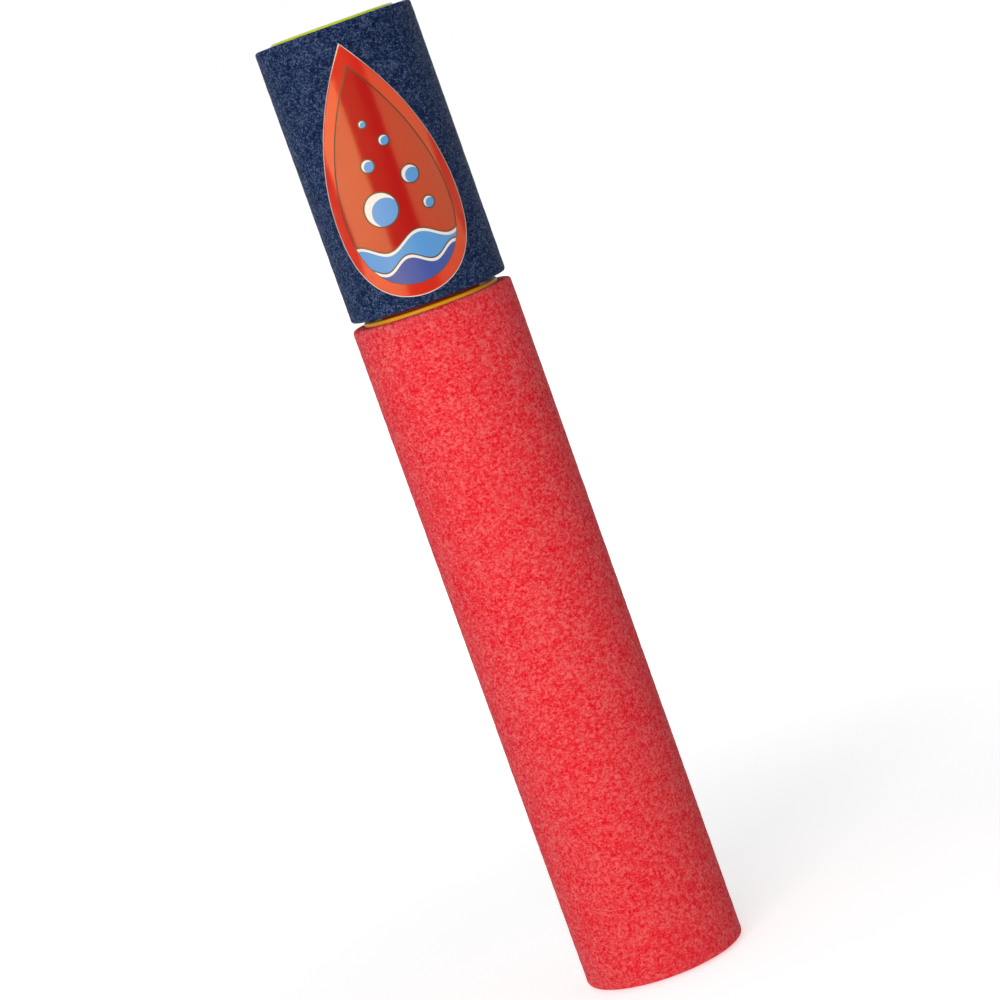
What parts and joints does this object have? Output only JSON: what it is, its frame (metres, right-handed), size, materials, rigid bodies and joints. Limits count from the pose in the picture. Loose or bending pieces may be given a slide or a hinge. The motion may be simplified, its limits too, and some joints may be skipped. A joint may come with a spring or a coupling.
{
  "type": "water squirter",
  "caption": "Hand-pump water squirter: a foam-sleeved barrel with a nozzle at one end and a foam-sleeved plunger handle that pulls out and pushes in along its axis.",
  "frame": {"origin": "centre of the nozzle cap's standing face, on the pump's axis", "axes": "+Z along the pump's axis from the nozzle to the handle, -Y the side with the label"},
  "size_m": [0.055, 0.055, 0.3301],
  "materials": {
    "foam_red": "matte",
    "foam_navy": "matte",
    "cap_yellow": "gloss",
    "cap_lime": "gloss",
    "tube_natural": "satin",
    "moulding_natural": "satin",
    "seal_rubber": "matte",
    "washer_red": "matte",
    "label_foil": "gloss"
  },
  "bodies": {
    "barrel": {"barrel_foam": "foam_red", "barrel_tube": "tube_natural", "nozzle_cap": "cap_yellow", "guide_cap": "cap_yellow", "stop_washer": "washer_red"},
    "seals": {"piston_ring_front": "seal_rubber", "piston_ring_rear": "seal_rubber"},
    "plunger": {"piston_body": "moulding_natural", "rod_tube": "tube_natural", "handle_plug": "cap_yellow", "handle_core": "tube_natural", "handle_foam": "foam_navy", "end_cap": "cap_lime", "label": "label_foil"}
  },
  "joints": [
    {"name": "plunger_slide", "type": "slide", "parent": "barrel", "child": "seals", "axis": [0, 0, 1], "range_m": [0, 0.18]},
    {"name": "plunger_turn", "type": "hinge", "parent": "seals", "child": "plunger", "pos_m": [0, 0, 0.2], "axis": [0, 0, 1], "continuous": true}
  ]
}
